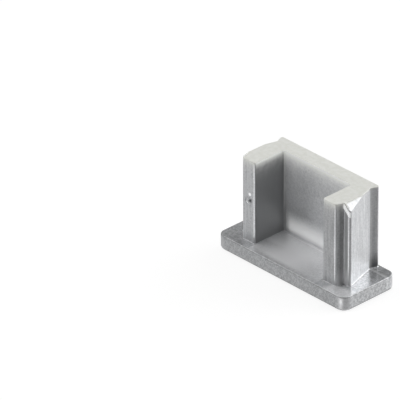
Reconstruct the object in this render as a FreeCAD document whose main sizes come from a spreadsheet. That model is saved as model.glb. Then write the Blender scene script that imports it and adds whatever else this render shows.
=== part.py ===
import FreeCAD, Part
import Sketcher
import os

# End cap for a shallow U-shaped aluminium profile. It is one moulding: a flat plate that
# covers the cut end of the profile, and a U-shaped plug that is pushed inside it.
# The plate lies on the XY plane with its show face down, X is its long direction, the
# U opens towards -Y and the plug stands up along +Z. All sizes are in millimetres.
SIZES = [
    ("plate_length", 17.5, "plate, along X"),
    ("plate_width", 7.0, "plate, along Y"),
    ("plate_thickness", 1.6, "plate, from the show face to the seat"),
    ("plate_corner_radius", 0.9, "plan corners of the plate"),
    ("show_edge_radius", 0.35, "rounding round the show face"),
    ("seat_edge_radius", 0.1, "rounding round the seat face"),
    ("plug_height", 8.9, "plug, from the seat to the rim"),
    ("wall_thickness", 1.75, "long wall of the plug"),
    ("wall_setback", 0.25, "long wall, in from the plate's back edge"),
    ("leg_thickness", 1.75, "legs of the plug, at their free ends"),
    ("leg_setback", 1.15, "free ends of the legs, in from the plate's front edge"),
    ("leg_span", 12.75, "over the outer faces of the two legs at their free ends"),
    ("lip_reach", 0.36, "ends of the long wall, out past the legs"),
    ("lip_depth", 1.0, "ends of the long wall, from its back face to the notch"),
    ("barb_reach", 1.085, "edge of each barb, out past the leg"),
    ("barb_setback", 0.91, "edge of each barb, in from the free end of the leg"),
    ("barb_root_reach", 0.26, "root of each barb, out past the leg"),
    ("barb_root_setback", 0.87, "root of each barb, in from the free end of the leg"),
    ("lead_in_ledge", 0.1, "flat top of each barb, from its root out to the slope"),
    ("lead_in_drop", 0.8, "slope at the top of each barb, along Z"),
    ("wall_corner_radius", 0.2, "outer corners of the long wall"),
    ("leg_corner_radius", 0.25, "corners at the free ends of the legs"),
    ("barb_edge_radius", 0.25, "edge of each barb"),
    ("inner_corner_radius", 0.3, "inner corners of the U"),
    ("foot_radius", 0.1, "hollow rounding where the plug meets the seat"),
    ("rim_edge_radius", 0.06, "rounding round the rim of the plug"),
    ("gate_diameter", 1.0, "shallow dish round the moulding gate"),
    ("gate_depth", 0.06, "depth of the dish"),
    ("nub_diameter", 0.5, "stub left by the moulding gate"),
    ("nub_height", 0.1, "stub, out past the face of the leg"),
]

# Places that several features share, written in the sizes above.
PLATE_END = "Sizes.plate_length / 2"
PLATE_BACK = "Sizes.plate_width / 2"
SEAT = "Sizes.plate_thickness"
RIM = "(Sizes.plate_thickness + Sizes.plug_height)"
WALL_BACK = "(Sizes.plate_width / 2 - Sizes.wall_setback)"
WALL_FRONT = f"({WALL_BACK} - Sizes.wall_thickness)"
LIP_FRONT = f"({WALL_BACK} - Sizes.lip_depth)"
LEG_END = "(Sizes.leg_setback - Sizes.plate_width / 2)"
LEG_OUTSIDE = "Sizes.leg_span / 2"
LEG_INSIDE = "(Sizes.leg_span / 2 - Sizes.leg_thickness)"
LIP_OUTSIDE = f"({LEG_OUTSIDE} + Sizes.lip_reach)"
BARB_EDGE = f"({LEG_OUTSIDE} + Sizes.barb_reach)"
BARB_EDGE_Y = f"({LEG_END} + Sizes.barb_setback)"
BARB_ROOT = f"({LEG_OUTSIDE} + Sizes.barb_root_reach)"
BARB_ROOT_Y = f"({LEG_END} + Sizes.barb_root_setback)"
LEAD_IN_START = f"({BARB_ROOT} + Sizes.lead_in_ledge)"
LEAD_IN_WIDTH = f"({BARB_EDGE} - {LEAD_IN_START})"

# The lead-in cut runs past the edge of the barb by half its own width.
OVERRUN = 1.5
# Two places nearer than this are the same place.
SAME = 1e-4


def make_sheet(doc):
    """The driving sizes, one row each: alias, value, what it measures."""
    sheet = doc.addObject("Spreadsheet::Sheet", "Sizes")
    for row, (alias, value, meaning) in enumerate(SIZES, start=1):
        sheet.set(f"A{row}", alias)
        sheet.set(f"B{row}", str(value))
        sheet.set(f"C{row}", meaning)
        sheet.setAlias(f"B{row}", alias)
    doc.recompute()
    return sheet


def number(sheet, expression):
    """The value of an expression in the sheet's sizes."""
    return float(sheet.evalExpression(expression))


def origin_plane(body, role):
    """One of the body's own origin planes, found by its role."""
    return next(item for item in body.Origin.OriginFeatures if item.Role == role)


def new_sketch(body, name, role, offset=None):
    """An empty sketch on an origin plane, moved along that plane's normal."""
    sketch = body.newObject("Sketcher::SketchObject", name)
    sketch.AttachmentSupport = [(origin_plane(body, role), "")]
    sketch.MapMode = "FlatFace"
    if offset:
        sketch.setExpression("AttachmentOffset.Base.z", offset)
    return sketch


def constrain(sketch, constraint, name, expression):
    """Add a dimension to a sketch and bind it to the sheet."""
    index = sketch.addConstraint(constraint)
    sketch.renameConstraint(index, name)
    sketch.setExpression(f"Constraints.{name}", expression)


def draw_outline(sketch, sheet, label, corners):
    """A closed outline of straight lines. Each corner is a name with its two coordinates."""
    places = [FreeCAD.Vector(number(sheet, x), number(sheet, y), 0) for _, x, y in corners]
    first = sketch.GeometryCount
    for start, end in zip(places, places[1:] + places[:1]):
        sketch.addGeometry(Part.LineSegment(start, end))
    for step, (name, x, y) in enumerate(corners):
        line = first + step
        before = first + (step - 1) % len(corners)
        sketch.addConstraint(Sketcher.Constraint("Coincident", before, 2, line, 1))
        across = Sketcher.Constraint("DistanceX", -1, 1, line, 1, places[step].x)
        constrain(sketch, across, f"{label}_{name}_x", x)
        along = Sketcher.Constraint("DistanceY", -1, 1, line, 1, places[step].y)
        constrain(sketch, along, f"{label}_{name}_y", y)


def draw_circle(sketch, sheet, label, x, y, diameter):
    """A circle about a place given by its two coordinates."""
    centre = FreeCAD.Vector(number(sheet, x), number(sheet, y), 0)
    radius = number(sheet, diameter) / 2
    circle = sketch.addGeometry(Part.Circle(centre, FreeCAD.Vector(0, 0, 1), radius))
    constrain(sketch, Sketcher.Constraint("DistanceX", -1, 1, circle, 3, centre.x), f"{label}_x", x)
    constrain(sketch, Sketcher.Constraint("DistanceY", -1, 1, circle, 3, centre.y), f"{label}_y", y)
    constrain(sketch, Sketcher.Constraint("Diameter", circle, 2 * radius), f"{label}_across", diameter)


def extrude(body, kind, name, sketch, length):
    """A pad along the sketch's normal, or a pocket against it. The volume must change that way."""
    before = body.Shape.Volume if body.Tip else 0.0
    feature = body.newObject(f"PartDesign::{kind}", name)
    feature.Profile = sketch
    feature.setExpression("Length", length)
    body.Document.recompute()
    gained = feature.Shape.Volume - before
    if (gained > 0) != (kind == "Pad"):
        raise RuntimeError(f"{name} changed the volume by {gained:.4f}")
    return feature


def round_edges(body, name, edges, radius):
    """A fillet on the named edges of the newest feature."""
    if not edges:
        raise RuntimeError(f"{name} found no edges")
    base = body.Tip
    fillet = body.newObject("PartDesign::Fillet", name)
    fillet.Base = (base, edges)
    fillet.setExpression("Radius", radius)
    body.Document.recompute()
    if fillet.Shape.isNull() or "Invalid" in fillet.State:
        raise RuntimeError(f"{name} could not be rounded")


def upright_edges(shape, places):
    """Names of the edges along Z that stand at the given places in plan."""
    names = []
    for index, edge in enumerate(shape.Edges, start=1):
        ends = [vertex.Point for vertex in edge.Vertexes]
        if len(ends) < 2 or max(abs(ends[0].x - ends[1].x), abs(ends[0].y - ends[1].y)) > SAME:
            continue
        if any(max(abs(ends[0].x - x), abs(ends[0].y - y)) < SAME for x, y in places):
            names.append(f"Edge{index}")
    return names


def level_face(shape, height):
    """The largest flat face at a height."""
    level = [face for face in shape.Faces if face.BoundBox.ZLength < SAME]
    level = [face for face in level if abs(face.BoundBox.ZMin - height) < SAME]
    return max(level, key=lambda face: face.Area)


def names_of(shape, edges):
    """Names in a shape of the given edges."""
    found = []
    for index, edge in enumerate(shape.Edges, start=1):
        if any(edge.isSame(other) for other in edges):
            found.append(f"Edge{index}")
    return found


def make_plate(body, sheet):
    """The flat plate with rounded plan corners."""
    sketch = new_sketch(body, "PlateOutline", "XY_Plane")
    corners = [
        ("front_right", PLATE_END, f"-{PLATE_BACK}"),
        ("back_right", PLATE_END, PLATE_BACK),
        ("back_left", f"-{PLATE_END}", PLATE_BACK),
        ("front_left", f"-{PLATE_END}", f"-{PLATE_BACK}"),
    ]
    draw_outline(sketch, sheet, "plate", corners)
    extrude(body, "Pad", "Plate", sketch, "Sizes.plate_thickness")
    places = [(number(sheet, x), number(sheet, y)) for _, x, y in corners]
    edges = upright_edges(body.Shape, places)
    round_edges(body, "PlateCorners", edges, "Sizes.plate_corner_radius")


def make_plug(body, sheet):
    """The U-shaped plug: half of it is drawn and mirrored, then its upright edges are rounded."""
    sketch = new_sketch(body, "PlugOutline", "XY_Plane", SEAT)
    corners = [
        ("wall_middle_back", "0", WALL_BACK),
        ("wall_middle_front", "0", WALL_FRONT),
        ("inner_corner", LEG_INSIDE, WALL_FRONT),
        ("leg_inner_end", LEG_INSIDE, LEG_END),
        ("leg_outer_end", LEG_OUTSIDE, LEG_END),
        ("barb_root", BARB_ROOT, BARB_ROOT_Y),
        ("barb_edge", BARB_EDGE, BARB_EDGE_Y),
        ("notch", LEG_OUTSIDE, LIP_FRONT),
        ("wall_corner", LIP_OUTSIDE, WALL_BACK),
    ]
    draw_outline(sketch, sheet, "plug", corners)
    half = extrude(body, "Pad", "PlugHalf", sketch, "Sizes.plug_height")
    mirrored = body.newObject("PartDesign::Mirrored", "Plug")
    mirrored.Originals = [half]
    mirrored.MirrorPlane = (origin_plane(body, "YZ_Plane"), [""])
    mirrored.Refine = True
    body.Tip = mirrored
    body.Document.recompute()

    places = {name: (number(sheet, x), number(sheet, y)) for name, x, y in corners}
    roundings = [
        ("WallCorners", ["wall_corner"], "Sizes.wall_corner_radius"),
        ("InnerCorners", ["inner_corner"], "Sizes.inner_corner_radius"),
        ("LegCorners", ["leg_inner_end", "leg_outer_end"], "Sizes.leg_corner_radius"),
        ("BarbEdges", ["barb_edge"], "Sizes.barb_edge_radius"),
    ]
    for name, which, radius in roundings:
        both_sides = [(side * places[key][0], places[key][1]) for key in which for side in (1, -1)]
        round_edges(body, name, upright_edges(body.Shape, both_sides), radius)


def make_lead_ins(body, sheet):
    """The slopes that let the barbs slide into the profile, cut from the rim down to their edges."""
    sketch = new_sketch(body, "LeadInOutline", "XZ_Plane", f"-{LEG_END}")
    outer = f"({LEAD_IN_START} + {OVERRUN} * {LEAD_IN_WIDTH})"
    lower = f"({RIM} - {OVERRUN} * Sizes.lead_in_drop)"
    for label, sign in (("right", ""), ("left", "-")):
        corners = [
            ("start", f"{sign}{LEAD_IN_START}", RIM),
            ("bottom", f"{sign}{outer}", lower),
            ("top", f"{sign}{outer}", RIM),
        ]
        draw_outline(sketch, sheet, label, corners)
    extrude(body, "Pocket", "LeadIns", sketch, f"{LIP_FRONT} - {LEG_END}")


def make_gate_mark(body, sheet):
    """The trace of the moulding gate, in the middle of the left leg's end face."""
    x = f"-({LEG_OUTSIDE} + {LEG_INSIDE}) / 2"
    z = f"({SEAT} + Sizes.plug_height / 2)"
    dish = new_sketch(body, "GateDishOutline", "XZ_Plane", f"-{LEG_END}")
    draw_circle(dish, sheet, "dish", x, z, "Sizes.gate_diameter")
    extrude(body, "Pocket", "GateDish", dish, "Sizes.gate_depth")
    nub = new_sketch(body, "GateNubOutline", "XZ_Plane", f"-{LEG_END} - Sizes.gate_depth")
    draw_circle(nub, sheet, "nub", x, z, "Sizes.nub_diameter")
    extrude(body, "Pad", "GateNub", nub, "Sizes.gate_depth + Sizes.nub_height")


def round_rims(body, sheet):
    """The small roundings that moulding leaves at the foot, the rim and the plate's edges."""
    shape = body.Shape
    seat = level_face(shape, number(sheet, SEAT))
    foot = [edge for wire in seat.Wires if not wire.isSame(seat.OuterWire) for edge in wire.Edges]
    round_edges(body, "Foot", names_of(shape, foot), "Sizes.foot_radius")

    shape = body.Shape
    rim = level_face(shape, number(sheet, RIM))
    round_edges(body, "Rim", names_of(shape, rim.Edges), "Sizes.rim_edge_radius")

    shape = body.Shape
    show = level_face(shape, 0.0)
    round_edges(body, "ShowEdge", names_of(shape, show.Edges), "Sizes.show_edge_radius")

    shape = body.Shape
    seat = level_face(shape, number(sheet, SEAT))
    edges = names_of(shape, seat.OuterWire.Edges)
    round_edges(body, "SeatEdge", edges, "Sizes.seat_edge_radius")


def check(doc, body):
    """Stop at a feature that failed, or at a shape that is not one sound solid."""
    for item in doc.Objects:
        if "Invalid" in item.State or "Error" in item.State:
            raise RuntimeError(f"{item.Name} failed: {item.State}")
    shape = body.Shape
    if shape.isNull() or not shape.isValid() or len(shape.Solids) != 1:
        raise RuntimeError(f"{body.Label} is not one valid solid")
    box = shape.optimalBoundingBox(False)
    print(f"{body.Label}: {box.XLength:.3f} x {box.YLength:.3f} x {box.ZLength:.3f} mm,"
          f" {shape.Volume:.3f} mm3, {len(shape.Faces)} faces")


doc = FreeCAD.newDocument("profile_end_cap")
sheet = make_sheet(doc)
body = doc.addObject("PartDesign::Body", "EndCap")
body.Label = "end_cap"
make_plate(body, sheet)
make_plug(body, sheet)
make_lead_ins(body, sheet)
make_gate_mark(body, sheet)
round_rims(body, sheet)
doc.recompute()
check(doc, body)

os.makedirs("parts", exist_ok=True)
body.Shape.exportStep(f"parts/{body.Label}.step")
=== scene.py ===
import math
import bmesh
import bpy
from mathutils import Matrix, Quaternion, Vector


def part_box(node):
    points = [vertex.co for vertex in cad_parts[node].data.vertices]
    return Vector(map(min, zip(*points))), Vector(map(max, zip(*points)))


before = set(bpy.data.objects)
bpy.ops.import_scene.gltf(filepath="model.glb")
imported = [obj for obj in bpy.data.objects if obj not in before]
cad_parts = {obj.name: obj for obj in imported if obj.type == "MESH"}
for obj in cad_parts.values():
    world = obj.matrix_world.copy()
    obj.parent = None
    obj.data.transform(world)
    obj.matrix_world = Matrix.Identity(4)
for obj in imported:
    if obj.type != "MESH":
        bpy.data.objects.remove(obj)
bpy.context.view_layer.update()

# The moulding. One piece of cream plastic, a flat plate with a U-shaped plug, made in a mould
# with a point gate on the left leg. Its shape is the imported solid's own, with all its edges
# rounded, so it only gets its finish here.
MM = 0.001
finish = bpy.data.materials.new("silver_sprayed_plastic")
finish.use_nodes = True
skin = finish.node_tree.nodes["Principled BSDF"]
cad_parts["end_cap"].material_slots[0].material = finish


def node(kind, tree=finish.node_tree, **settings):
    """A node of the finish, or of the given tree, with its settings."""
    made = tree.nodes.new(kind)
    for name, value in settings.items():
        setattr(made, name, value)
    return made


def feed(value, socket):
    """Link an output to a socket, or set the socket to a plain value."""
    if isinstance(value, bpy.types.NodeSocket):
        socket.id_data.links.new(value, socket)
    else:
        socket.default_value = value


place = node("ShaderNodeTexCoord")
axes = node("ShaderNodeSeparateXYZ")
facing = node("ShaderNodeSeparateXYZ")
feed(place.outputs["Object"], axes.inputs["Vector"])
feed(place.outputs["Normal"], facing.inputs["Vector"])
across, along, height = (axes.outputs[axis] for axis in "XYZ")
faces_across, faces_along, faces_up = (facing.outputs[axis] for axis in "XYZ")

# Where the rim is bare. The cap is sprayed with its rim covered, so the cream plastic shows
# there and the spray begins unevenly below it: soonest at the plug's outer back, and later on
# the U's inside and on the legs. A fade is the depth over which the spray thickens.
SEAT_HEIGHT = 1.6 * MM
RIM_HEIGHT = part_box("end_cap")[1].z
LEG_INNER_FACE = 4.625 * MM
LEG_OUTER_FACE = 6.3 * MM
LEG_END_FACE = -2.35 * MM
BARB_FRONT = -1.3 * MM
WALL_INNER_FACE = 1.5 * MM
RIM_COVER = 0.06 * MM
LEAST_FADE = 0.05 * MM
INNER_LEG_FADE = 0.40 * MM
LEG_END_FADE = 0.42 * MM
LEG_SIDE_FADE = 0.35 * MM
INNER_WALL_FADE = (-4.0 * MM, 0.0, 0.80 * MM, 0.624 * MM)
PATCH_SIZE = 0.5 * MM
PATCH_SPREAD = 1.2
PATCH_LEAST = 0.4
EDGE_SOFT = 0.03 * MM
FACE_SKIN = 0.05 * MM
FACE_DEPTH = 0.1 * MM


def math_of(operation, *values, tree=finish.node_tree):
    """One step of arithmetic."""
    made = node("ShaderNodeMath", tree, operation=operation)
    for value, socket in zip(values, made.inputs):
        feed(value, socket)
    return made.outputs["Value"]


def ramp(value, start, end, low=0.0, high=1.0):
    """A smooth step from low at start to high at end."""
    made = node("ShaderNodeMapRange", interpolation_type="SMOOTHSTEP")
    for item, socket in zip((value, start, end, low, high), made.inputs):
        feed(item, socket)
    return made.outputs["Result"]


def falling(value, start, end):
    """A smooth step down from 1 at start to 0 at end."""
    return ramp(value, start, end, 1.0, 0.0)


def above(value, limit, soft=EDGE_SOFT):
    """A mask of the places where a value is above a limit, with a soft edge."""
    return ramp(value, limit - soft, limit + soft)


def below(value, limit, soft=EDGE_SOFT):
    """A mask of the places where a value is below a limit, with a soft edge."""
    return falling(value, limit - soft, limit + soft)


def both(*masks):
    """The places that all the masks share."""
    shared = masks[0]
    for mask in masks[1:]:
        shared = math_of("MULTIPLY", shared, mask)
    return shared


def either(*masks):
    """The places that any of the masks has."""
    joined = masks[0]
    for mask in masks[1:]:
        joined = math_of("MAXIMUM", joined, mask)
    return joined


def scaled(mask, share):
    """A mask at a share of its strength."""
    return math_of("MULTIPLY", mask, share)


def noise(size, detail=2.0, stretch=(1.0, 1.0, 1.0)):
    """Noise in Object coordinates whose grains are about the given size, in metres."""
    mapping = node("ShaderNodeMapping")
    mapping.inputs["Scale"].default_value = [1.0 / (size * share) for share in stretch]
    feed(place.outputs["Object"], mapping.inputs["Vector"])
    made = node("ShaderNodeTexNoise")
    made.inputs["Scale"].default_value = 1.0
    made.inputs["Detail"].default_value = detail
    feed(mapping.outputs["Vector"], made.inputs["Vector"])
    return made.outputs["Fac"]


off_middle = math_of("ABSOLUTE", across)
patchy = noise(PATCH_SIZE)
inside = both(below(off_middle, LEG_INNER_FACE + FACE_SKIN),
              below(along, WALL_INNER_FACE + FACE_SKIN),
              above(height, SEAT_HEIGHT + 0.04 * MM))
on_inner_wall = both(inside, above(along, WALL_INNER_FACE - FACE_DEPTH))
on_inner_leg = both(inside, above(off_middle, LEG_INNER_FACE - FACE_DEPTH))
on_leg_end = below(along, LEG_END_FACE + FACE_SKIN)
on_leg_side = both(above(off_middle, LEG_OUTER_FACE), below(along, BARB_FRONT))
longest_fade = either(scaled(on_inner_leg, INNER_LEG_FADE),
                      scaled(on_leg_end, LEG_END_FADE),
                      scaled(on_leg_side, LEG_SIDE_FADE),
                      both(on_inner_wall, ramp(across, *INNER_WALL_FADE)))
fade = math_of("ADD", LEAST_FADE, longest_fade)
patchy_fade = math_of("MULTIPLY", fade,
                      math_of("MULTIPLY_ADD", patchy, PATCH_SPREAD, PATCH_LEAST))
below_rim = math_of("MAXIMUM", math_of("SUBTRACT", RIM_HEIGHT - RIM_COVER, height), 0.0)
bare = math_of("EXPONENT", math_of("MULTIPLY", math_of("DIVIDE", below_rim, patchy_fade), -1.0))

# Where the paint is thin, and where pale paint stands in for light. Little of the spray reaches
# the floor of the U, the foot of its long wall and the band under each barb's slope, and there
# the pale plastic shines through; the floor's paleness is also shaped to lift its shade. The
# same pale silver is painted light at the feet of the barbs, on the plate before the barbs, on
# the left of the long wall and on the plate's front corners.
THIN_SOFT = 0.1 * MM
SLOPE_START = 6.735 * MM
SLOPE_WIDTH = 0.725 * MM
SLOPE_DROP = 0.8 * MM
SLOPE_LEDGE = 0.12 * MM
BAND_DEPTH = 0.75 * MM
BAND_SOFT = 0.08 * MM
WALL_FOOT_DEPTH = 0.35 * MM
WALL_FOOT_TOP = (SEAT_HEIGHT + 0.7 * MM, SEAT_HEIGHT + 2.9 * MM)
WALL_FOOT_LEFT = (-4.7 * MM, -3.5 * MM)
WALL_LEFT = (-4.4 * MM, -0.5 * MM)
UPWARD = (0.6, 0.9)
PLATE_TOP_LIMIT = SEAT_HEIGHT + 0.2 * MM
FLOOR_FRONT = (-3.5 * MM, -2.6 * MM, 0.35, 1.0)
FLOOR_BACK = (-0.7 * MM, 1.3 * MM, 1.0, 0.68)
FLOOR_LEFT = (-4.0 * MM, -1.5 * MM, 0.7, 1.0)
FLOOR_PAST_FRONT = (-2.2 * MM, -0.5 * MM)
FLOOR_RIGHT = (0.0, 4.0 * MM, 1.0, 0.4)
BEFORE_BARB = (5.2 * MM, 6.2 * MM)
BEFORE_BARB_LIMIT = -2.0 * MM
CLEAR_OF_PLATE = SEAT_HEIGHT + 0.06 * MM
BARB_FOOT_SIDE = 6.42 * MM
BARB_FOOT_FRONT = -1.2 * MM
BARB_FOOT_TOP = (SEAT_HEIGHT + 0.4 * MM, SEAT_HEIGHT + 2.2 * MM)
CORNER_SIDE = 7.9 * MM
CORNER_FRONT = -2.7 * MM
CORNER_SOFT = 0.2 * MM
CORNER_TOP = SEAT_HEIGHT - 0.1 * MM
GLINT_SIDES = (8.12 * MM, 8.38 * MM)
GLINT_SIDE_SOFT = 0.12 * MM
GLINT_FOOT = 0.8 * MM
GLINT_TOP = 1.3 * MM


def strongest(*masks_and_shares):
    """The places that any of the masks has, each mask at its share of strength."""
    return either(*(scaled(mask, share) for mask, share in masks_and_shares))


past_slope_start = math_of("SUBTRACT", off_middle, SLOPE_START)
slope_height = math_of("MULTIPLY_ADD", past_slope_start, -SLOPE_DROP / SLOPE_WIDTH, RIM_HEIGHT)
above_band = math_of("SUBTRACT", math_of("ADD", height, BAND_DEPTH), slope_height)
over_barb_front = both(above(off_middle, SLOPE_START - SLOPE_LEDGE), below(along, BARB_FRONT),
                       above(above_band, 0.0, BAND_SOFT))
between_legs = below(off_middle, LEG_INNER_FACE - FACE_SKIN, THIN_SOFT)
wall_foot = both(between_legs,
                 above(along, WALL_INNER_FACE - WALL_FOOT_DEPTH, THIN_SOFT),
                 below(along, WALL_INNER_FACE + FACE_SKIN),
                 falling(height, *WALL_FOOT_TOP), ramp(across, *WALL_FOOT_LEFT))
facing_up = both(ramp(faces_up, *UPWARD), below(height, PLATE_TOP_LIMIT))
on_u_floor = both(facing_up, between_legs, below(along, WALL_INNER_FACE),
                  ramp(along, *FLOOR_FRONT), ramp(along, *FLOOR_BACK),
                  either(ramp(across, *FLOOR_LEFT), ramp(along, *FLOOR_PAST_FRONT)),
                  ramp(across, *FLOOR_RIGHT))
wall_left = both(on_inner_wall, falling(across, *WALL_LEFT))
before_barb = both(facing_up, ramp(across, *BEFORE_BARB),
                   below(along, BEFORE_BARB_LIMIT, soft=0.3 * MM))
barb_foot = both(above(off_middle, BARB_FOOT_SIDE, soft=0.05 * MM),
                 below(along, BARB_FOOT_FRONT), above(height, CLEAR_OF_PLATE),
                 falling(height, *BARB_FOOT_TOP))
plate_corner = both(below(height, CORNER_TOP), above(off_middle, CORNER_SIDE, CORNER_SOFT),
                    below(along, CORNER_FRONT, CORNER_SOFT))
corner_glint = both(plate_corner, above(across, GLINT_SIDES[0], GLINT_SIDE_SOFT),
                    below(across, GLINT_SIDES[1], GLINT_SIDE_SOFT),
                    above(height, GLINT_FOOT, soft=0.25 * MM),
                    below(height, GLINT_TOP, soft=0.2 * MM))
# Pale silver painted on as light, as well as for thin paint.
thin_paint_and_light = strongest((wall_foot, 1.0), (on_u_floor, 1.0), (over_barb_front, 1.0),
                 (before_barb, 0.5), (plate_corner, 0.6), (wall_left, 0.3), (barb_foot, 1.0))

# The trace of the gate on the end of the left leg, where the runner was snapped off, painted
# in light and shade: a painted highlight over a small dark spot of painted shade, and a short
# curved crescent of painted highlight beside it.
GATE_SPOT = (-5.36 * MM, 6.81 * MM)
GATE_DARK_SPOT = (-5.33 * MM, 6.13 * MM)
SPOT_RADIUS = 0.15 * MM
DARK_SPOT_RADIUS = 0.13 * MM
ROUND_SOFT = 0.06 * MM
CRESCENT_RADIUS = 0.43 * MM
CRESCENT_HALF_WIDTH = 0.1 * MM
CRESCENT_INSET = 0.1 * MM
CRESCENT_END_SOFT = 0.12 * MM


def from_point(point):
    """The distance from a point on the leg's end, seen from the front."""
    sideways = math_of("SUBTRACT", across, point[0])
    upwards = math_of("SUBTRACT", height, point[1])
    return math_of("SQRT", math_of("ADD", math_of("POWER", sideways, 2.0),
                                   math_of("POWER", upwards, 2.0)))


gate_highlight = both(on_leg_end, below(from_point(GATE_SPOT), SPOT_RADIUS, ROUND_SOFT))
gate_dark_shade = both(on_leg_end, below(from_point(GATE_DARK_SPOT), DARK_SPOT_RADIUS, ROUND_SOFT))
off_crescent = math_of("ABSOLUTE", math_of("SUBTRACT", from_point(GATE_DARK_SPOT), CRESCENT_RADIUS))
gate_crescent_highlight = both(on_leg_end, below(off_crescent, CRESCENT_HALF_WIDTH, soft=0.05 * MM),
                   below(across, GATE_DARK_SPOT[0] - CRESCENT_INSET, CRESCENT_END_SOFT),
                   below(height, GATE_DARK_SPOT[1] - CRESCENT_INSET, CRESCENT_END_SOFT))

# Painted shade. The silver is painted darker, and made a little rougher, in the U's corners, on
# the legs' inner sides, along the plate's edges and over its underside, on the fronts of the
# right leg and the plate, at the feet of the legs, round the barbs' roots and beside the barbs.
LEVEL = (0.9, 0.98)
FORWARD = (-0.98, -0.9)
ROUNDED = (0.93, 0.995)
CORNER_WIDTH = 0.28 * MM
CORNER_DEPTH = 0.25 * MM
CORNER_EDGE_SOFT = 0.08 * MM
CORNER_FOOT = (SEAT_HEIGHT, SEAT_HEIGHT + 1.0 * MM, 0.3, 1.0)
BOTTOM_EDGE = 0.25 * MM
PLATE_EDGE_FOOT = SEAT_HEIGHT - 0.14 * MM
PLATE_EDGE_TOP = SEAT_HEIGHT + 0.02 * MM
PLATE_EDGE_PATCHES = (0.35, 0.65, 0.25, 0.9)
FOOT_START = SEAT_HEIGHT + 0.01 * MM
FOOT_TOP = SEAT_HEIGHT + 0.25 * MM
FOOT_HOLLOW = (0.15, 0.3)
FOOT_SIDE = 6.4 * MM
FOOT_BACK = 1.2 * MM
ROOT_RISE = (6.65 * MM, 6.85 * MM, 0.15, 1.0)
ROOT_FALL = (7.05 * MM, 7.25 * MM, 1.0, 0.1)
ROOT_SIDE = 6.45 * MM
ROOT_FRONT = LEG_END_FACE + 0.15 * MM
ROOT_FOOT = (SEAT_HEIGHT + 0.2 * MM, SEAT_HEIGHT + 1.2 * MM)
FRONT_FOOT_TOP = (SEAT_HEIGHT, SEAT_HEIGHT + 2.4 * MM)
FRONT_FLOOR = (3.6 * MM, 5.2 * MM)
FRONT_FLOOR_END = 6.1 * MM
BESIDE_BARB = 7.3 * MM
BESIDE_BARB_FRONT = (0.9 * MM, 1.5 * MM)
BESIDE_BARB_END = (7.7 * MM, 8.3 * MM, 1.0, 0.4)


def outside(mask):
    """The places that a mask leaves out."""
    return math_of("SUBTRACT", 1.0, mask)


squareness = either(math_of("ABSOLUTE", faces_across), math_of("ABSOLUTE", faces_along))
rounded = falling(squareness, *ROUNDED)
corner = both(inside, above(off_middle, LEG_INNER_FACE - CORNER_WIDTH, CORNER_EDGE_SOFT),
              above(along, WALL_INNER_FACE - CORNER_DEPTH, CORNER_EDGE_SOFT),
              ramp(height, *CORNER_FOOT))
bottom_edge = below(height, BOTTOM_EDGE, soft=0.12 * MM)
plate_edge = both(above(height, PLATE_EDGE_FOOT, soft=0.05 * MM),
                  below(height, PLATE_EDGE_TOP, soft=0.02 * MM), falling(faces_up, *LEVEL))
foot = both(above(height, FOOT_START, soft=0.01 * MM), below(height, FOOT_TOP, soft=0.05 * MM),
            ramp(faces_up, *FOOT_HOLLOW), below(off_middle, FOOT_SIDE), below(along, FOOT_BACK))
barb_root = both(ramp(off_middle, *ROOT_RISE), ramp(off_middle, *ROOT_FALL),
                 above(off_middle, ROOT_SIDE, soft=0.05 * MM), below(along, BARB_FRONT),
                 above(along, ROOT_FRONT, soft=0.15 * MM), ramp(height, *ROOT_FOOT))
fronts = both(falling(faces_along, *FORWARD), on_leg_end,
              either(above(across, 0.0), below(height, SEAT_HEIGHT)))
front_foot = either(both(on_leg_end, outside(rounded), above(height, CLEAR_OF_PLATE),
                         falling(height, *FRONT_FOOT_TOP)),
                    both(facing_up, below(along, LEG_END_FACE, soft=0.2 * MM),
                         ramp(off_middle, *FRONT_FLOOR),
                         below(off_middle, FRONT_FLOOR_END, soft=0.4 * MM)))
beside_barb = both(facing_up, above(off_middle, BESIDE_BARB, soft=0.1 * MM),
                   ramp(along, *BESIDE_BARB_FRONT), ramp(off_middle, *BESIDE_BARB_END))
patchy_edge_shade = both(plate_edge, ramp(patchy, *PLATE_EDGE_PATCHES))
# Painted shade: the silver is painted darker in these places.
painted_shade = strongest((corner, 1.0), (patchy_edge_shade, 1.0), (foot, 0.6), (barb_root, 0.85),
                 (on_inner_leg, 0.95), (fronts, 0.22), (beside_barb, 0.4), (front_foot, 0.35),
                 (bottom_edge, 0.8))

# Painted shade, darker still: behind the barbs' feet and beside their roots, along the edge of
# the right barb's slope, on a small spot of the gate's trace and a little in the U's corners.
LIP_FRONT = 2.2 * MM
SLOPE_EDGE = (0.14 * MM, 0.24 * MM)
SIDE_ROOT = 6.62 * MM
SIDE_ROOT_FRONT = (-2.3 * MM, -1.6 * MM)
BACK_FOOT_SIDE = 6.2 * MM
BACK_FOOT_START = SEAT_HEIGHT + 0.12 * MM
BACK_FOOT_TOP = (SEAT_HEIGHT + 0.1 * MM, SEAT_HEIGHT + 2.0 * MM)
from_slope_edge = math_of("ABSOLUTE", math_of("SUBTRACT", slope_height, height))
slope_edge = both(over_barb_front, above(across, 0.0), falling(from_slope_edge, *SLOPE_EDGE))
side_root = both(above(off_middle, LEG_OUTER_FACE), below(off_middle, SIDE_ROOT, soft=0.1 * MM),
                 below(along, BARB_FRONT + 0.1 * MM), ramp(along, *SIDE_ROOT_FRONT))
barb_back_foot = both(above(along, LIP_FRONT, soft=0.1 * MM), above(off_middle, BACK_FOOT_SIDE),
                      above(height, BACK_FOOT_START, soft=0.04 * MM),
                      falling(height, *BACK_FOOT_TOP))
# Painted shade, darkest in these places.
painted_deep_shade = strongest((barb_back_foot, 0.85), (side_root, 0.5), (slope_edge, 0.45),
                  (gate_dark_shade, 0.7), (corner, 0.3))

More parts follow.
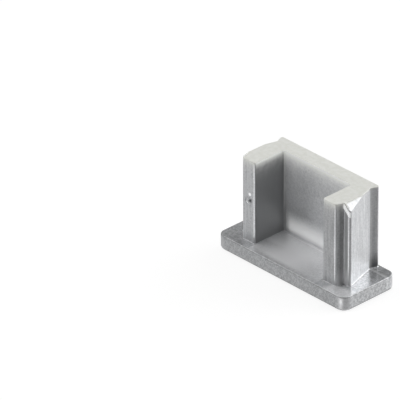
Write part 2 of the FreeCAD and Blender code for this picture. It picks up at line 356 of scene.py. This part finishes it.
# The silver spray over the cream plastic: a fine metal grain with coarser blotches, and faint
# upright streaks on the legs. The grain is calmer on the U's inside and on rounded edges, and
# the plastic itself is a little uneven.
CREAM = (0.85, 0.855, 0.815, 1.0)
CREAM_DARK = (0.8, 0.805, 0.755, 1.0)
SILVER = (0.82, 0.83, 0.845, 1.0)
SILVER_DARK = (0.54, 0.55, 0.565, 1.0)
# The pale silver is for thin paint and for painted light; the two darkest greys are painted
# shade.
SILVER_THIN_AND_LIT = (0.87, 0.875, 0.89, 1.0)
SILVER_SHADED = (0.34, 0.345, 0.35, 1.0)
DEEP_SHADE = (0.09, 0.09, 0.095, 1.0)
GRAIN_SIZE = 0.13 * MM
BLOTCH_SIZE = 0.24 * MM
STREAK_SIZE = 0.22 * MM
STREAK_STRETCH = (1.0, 1.0, 14.0)
STREAK_STRENGTH = 0.7
LEFT_FRONT_LIGHT = 0.12
FLECK_RANGE = 0.11
SMOOTHER_RANGE = 0.27
LEG_SMOOTHNESS = 0.5
HALF = 0.5
PATCH_EDGES = (0.35, 0.65)


def mixed(share, first, second):
    """Two colours, the second in the given share."""
    made = node("ShaderNodeMix", data_type="RGBA")
    feed(share, made.inputs["Factor"])
    feed(first, made.inputs["A"])
    feed(second, made.inputs["B"])
    return made.outputs["Result"]


grain = noise(GRAIN_SIZE, detail=1.0)
blotches = noise(BLOTCH_SIZE)
streaks = noise(STREAK_SIZE, detail=1.0, stretch=STREAK_STRETCH)
on_legs = both(above(height, SEAT_HEIGHT + 0.1 * MM), outside(on_inner_wall))
past_barb_front = math_of("MULTIPLY_ADD", above(along, BARB_FRONT),
                          1.0 - LEG_SMOOTHNESS, LEG_SMOOTHNESS)
smoother = either(inside, both(on_legs, either(rounded, past_barb_front)))
# The left leg's front is painted a little lighter, as painted light.
left_front_lit = both(on_leg_end, below(across, 0.0), above(height, CLEAR_OF_PLATE))
speckle = math_of("MULTIPLY_ADD", grain, HALF, scaled(blotches, HALF))
streaked = both(on_legs, math_of("MULTIPLY_ADD", streaks, STREAK_STRENGTH,
                                 -HALF * STREAK_STRENGTH))
fleck = math_of("ADD", speckle, math_of("MULTIPLY_ADD", left_front_lit, LEFT_FRONT_LIGHT, streaked))
fleck_range = math_of("MULTIPLY_ADD", smoother, SMOOTHER_RANGE, FLECK_RANGE)
flecked = math_of("ADD", math_of("MULTIPLY", math_of("SUBTRACT", fleck, HALF),
                                 math_of("DIVIDE", HALF, fleck_range)), HALF)
# Painted shade darkens the coat; thin paint and painted light make it paler.
coat = mixed(painted_shade, mixed(ramp(flecked, 0.0, 1.0), SILVER_DARK, SILVER), SILVER_SHADED)
paint = mixed(painted_deep_shade, mixed(thin_paint_and_light, coat, SILVER_THIN_AND_LIT), DEEP_SHADE)
cream = mixed(ramp(patchy, *PATCH_EDGES), CREAM, CREAM_DARK)
feed(mixed(bare, paint, cream), skin.inputs["Base Color"])

# The gloss of the spray, and a painted glow. The paint is half a metal, and smoothest on the
# plate's top. A glow stands in for light where the cream plastic is bare on the U's inside and
# the legs' ends, at the foot of the long wall and in the band under each barb's slope, and is
# painted as highlights at the trace of the gate, on the edges of the wall's ends and on a plate
# corner.
METAL = 0.6
THIN_LOSS = 0.85
CREAM_ROUGHNESS = 0.45
PAINT_SMOOTHER = -0.13
SHADE_ROUGHER = 0.12
PLATE_TOP_ROUGHNESS = 0.22
NOT_LEVEL = (0.3, 0.9)
PAINTED_GLOW = (0.92, 0.93, 0.92, 1.0)
NO_GLOW = (0.0, 0.0, 0.0, 1.0)
INSIDE_GLOW = 0.3
LEG_END_GLOW = 0.15
WALL_FOOT_GLOW = (SEAT_HEIGHT, SEAT_HEIGHT + 0.7 * MM, 0.02, 0.3)
BARB_GLOW = 0.42
BARB_EDGE_LOSS = 0.4
LIP_GLOW = (2.25 * MM, 2.6 * MM, 0.12, 0.0)
GRAIN_BUMP = 0.12
GRAIN_DEPTH = 0.02 * MM
painted = both(outside(bare), outside(scaled(thin_paint_and_light, THIN_LOSS)))
feed(scaled(painted, METAL), skin.inputs["Metallic"])
on_plate_top = both(ramp(faces_up, *LEVEL), below(height, SEAT_HEIGHT + 0.1 * MM))
rough = math_of("ADD", math_of("MULTIPLY_ADD", painted, PAINT_SMOOTHER, CREAM_ROUGHNESS),
                scaled(painted_shade, SHADE_ROUGHER))
off_plate_top = math_of("MULTIPLY", rough, outside(on_plate_top))
feed(math_of("ADD", off_plate_top, scaled(on_plate_top, PLATE_TOP_ROUGHNESS)),
     skin.inputs["Roughness"])
not_up = falling(faces_up, *NOT_LEVEL)
bare_side = both(bare, not_up)
# The painted glow: emission that stands in for light and highlights.
painted_glow = either(both(bare_side, scaled(inside, INSIDE_GLOW)),
              both(bare_side, scaled(on_leg_end, LEG_END_GLOW)),
              both(wall_foot, ramp(height, *WALL_FOOT_GLOW)),
              both(over_barb_front,
                   math_of("SUBTRACT", BARB_GLOW, scaled(slope_edge, BARB_EDGE_LOSS))),
              strongest((gate_highlight, 0.6), (gate_crescent_highlight, 0.5), (corner_glint, 0.25)),
              both(above(off_middle, LEG_OUTER_FACE), above(along, LIP_FRONT, soft=0.02 * MM),
                   ramp(along, *LIP_GLOW)))
feed(mixed(painted_glow, NO_GLOW, PAINTED_GLOW), skin.inputs["Emission Color"])
skin.inputs["Emission Strength"].default_value = 1.0
bump = node("ShaderNodeBump")
bump.inputs["Strength"].default_value = GRAIN_BUMP
bump.inputs["Distance"].default_value = GRAIN_DEPTH
feed(grain, bump.inputs["Height"])
feed(bump.outputs["Normal"], skin.inputs["Normal"])

# The floor. A plain pale sheet that the cap stands on, lit evenly from within like a light
# table. The paint mirrors the light tent and not this sheet, so it shows to the camera alone
# and takes the cap's faint shadow.
FLOOR_HALF = 1.5
FLOOR_LOOKS = {
    "Base Color": (0.25, 0.25, 0.25, 1),
    "Roughness": 0.9,
    "Specular IOR Level": 0.0,
    "Emission Color": (1, 1, 1, 1),
    "Emission Strength": 0.82,
}
sheet = bmesh.new()
bmesh.ops.create_grid(sheet, x_segments=1, y_segments=1, size=FLOOR_HALF)
mesh = bpy.data.meshes.new("floor")
sheet.to_mesh(mesh)
sheet.free()
floor = bpy.data.objects.new("floor", mesh)
bpy.context.scene.collection.objects.link(floor)
pale = bpy.data.materials.new("pale_floor")
pale.use_nodes = True
for name, value in FLOOR_LOOKS.items():
    feed(value, pale.node_tree.nodes["Principled BSDF"].inputs[name])
mesh.materials.append(pale)
floor.visible_diffuse = floor.visible_glossy = floor.visible_shadow = False

# The light. A white tent whose panels differ in brightness. Each panel is a soft lobe in a
# direction, given by its azimuth (0 is +X, 90 is +Y), elevation, strength and sharpness. To
# the camera alone the tent is an even white.
PANELS = [
    ("left_high", 180, 60, 0.85, 8),
    ("front_left_high", 240, 60, 1.26, 8),
    ("top", 0, 90, 0.3, 8),
    ("back_right", 60, 30, 2.22, 8),
    ("back", 90, 30, 0.35, 8),
    ("front_left", 210, 30, 0.6, 8),
    ("back_right_level", 60, 0, 1.86, 8),
    ("back_level", 90, 0, 1.33, 8),
    ("left_low", 210, -30, 0.55, 8),
    ("front_low", 270, -30, 2.2, 16),
    ("camera_side_low", 315, -30, 0.25, 12),
    ("right_under", 0, -60, 0.62, 8),
    ("back_under", 60, -60, 0.36, 8),
    ("back_left_under", 120, -60, 0.16, 8),
    ("under", 0, -90, 0.7, 8),
]
SEEN_WHITE = (0.985, 0.985, 0.985, 1.0)
world = bpy.data.worlds.new("light_tent")
bpy.context.scene.world = world
world.use_nodes = True
tent = world.node_tree
sight = node("ShaderNodeTexCoord", tent)
brightness = 0.0
for label, azimuth, elevation, strength, sharpness in PANELS:
    a, e = math.radians(azimuth), math.radians(elevation)
    towards = node("ShaderNodeVectorMath", tent, operation="DOT_PRODUCT", label=label)
    feed(sight.outputs["Generated"], towards.inputs[0])
    feed((math.cos(a) * math.cos(e), math.sin(a) * math.cos(e), math.sin(e)), towards.inputs[1])
    ahead = math_of("MAXIMUM", towards.outputs["Value"], 0.0, tree=tent)
    lobe = math_of("POWER", ahead, sharpness, tree=tent)
    brightness = math_of("MULTIPLY_ADD", lobe, strength, brightness, tree=tent)
choice = node("ShaderNodeMix", tent, data_type="RGBA")
feed(node("ShaderNodeLightPath", tent).outputs["Is Camera Ray"], choice.inputs["Factor"])
feed(brightness, choice.inputs["A"])
feed(SEEN_WHITE, choice.inputs["B"])
feed(choice.outputs["Result"], tent.nodes["Background"].inputs["Color"])
bpy.context.scene.view_settings.view_transform = "Standard"

# The camera. A long lens, nearly without perspective, that sees the cap's open side from the
# right and above. The middle of the cap's height is put at its place in the picture by
# aiming beside the cap, with no shift.
IMAGE_SIZE = 400
VIEW_AZIMUTH = math.radians(45.77)
VIEW_ELEVATION = math.radians(30.06)
VIEW_ROLL = math.radians(0.175)
PIXELS_PER_METRE = 10441
MIDDLE = Vector((0, 0, 5 * MM))
MIDDLE_PIXEL = (306.23, 222.41)
LENS = 600
SENSOR = 36
CLIP_START = 0.01
CLIP_END = 10
back = Vector((math.sin(VIEW_AZIMUTH) * math.cos(VIEW_ELEVATION),
               -math.cos(VIEW_AZIMUTH) * math.cos(VIEW_ELEVATION),
               math.sin(VIEW_ELEVATION)))
right = Vector((math.cos(VIEW_AZIMUTH), math.sin(VIEW_AZIMUTH), 0))
up = back.cross(right)
distance = LENS / SENSOR * IMAGE_SIZE / PIXELS_PER_METRE
lens = bpy.data.cameras.new("camera")
lens.lens = LENS
lens.sensor_width = SENSOR
lens.clip_start = CLIP_START
lens.clip_end = CLIP_END
camera = bpy.data.objects.new("camera", lens)
camera.location = MIDDLE + back * distance
upright = Matrix((right, up, back)).transposed().to_quaternion()
sight_line = Vector((MIDDLE_PIXEL[0] - IMAGE_SIZE / 2, IMAGE_SIZE / 2 - MIDDLE_PIXEL[1],
                     -IMAGE_SIZE * LENS / SENSOR))
camera.rotation_mode = "QUATERNION"
camera.rotation_quaternion = (upright @ Quaternion((0, 0, 1), VIEW_ROLL)
                              @ sight_line.rotation_difference(Vector((0, 0, -1))))
bpy.context.scene.collection.objects.link(camera)
bpy.context.scene.camera = camera
